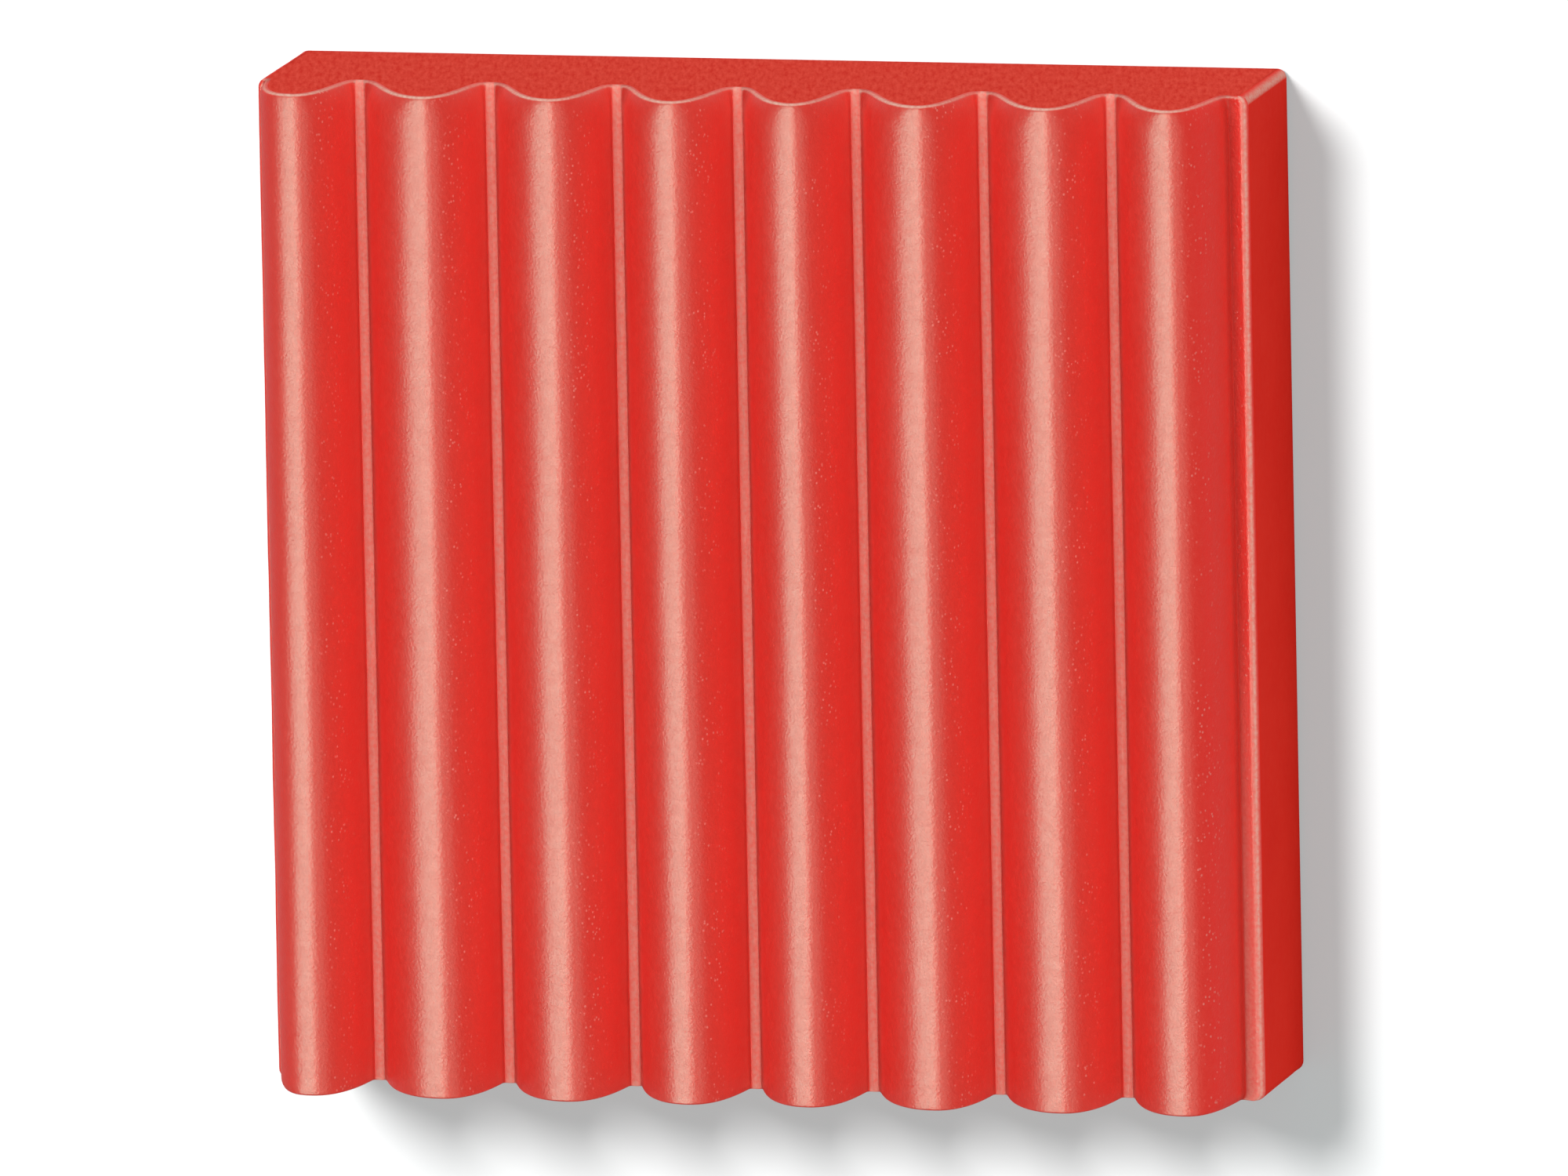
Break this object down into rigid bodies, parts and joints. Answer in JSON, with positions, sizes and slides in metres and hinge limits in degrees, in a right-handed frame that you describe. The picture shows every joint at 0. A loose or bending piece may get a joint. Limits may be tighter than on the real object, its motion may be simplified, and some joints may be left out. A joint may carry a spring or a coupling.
{
  "type": "modelling clay block",
  "caption": "Square block of red modelling clay, flat on its back, scored by straight grooves into rounded bars that break off as portions.",
  "frame": {"origin": "middle of the flat back, which the block lies on", "axes": "+Z from the flat back up to the crests of the bars, +Y along the bars, +X across them from portion_1 to portion_8"},
  "size_m": [0.055, 0.055, 0.015],
  "materials": {
    "clay": "satin red modelling clay, glossier on the pressed bars and matte and grainy on the cut ends"
  },
  "bodies": {
    "root": {"portion_1": "clay", "portion_2": "clay", "portion_3": "clay", "portion_4": "clay", "portion_5": "clay", "portion_6": "clay", "portion_7": "clay", "portion_8": "clay"}
  },
  "joints": []
}
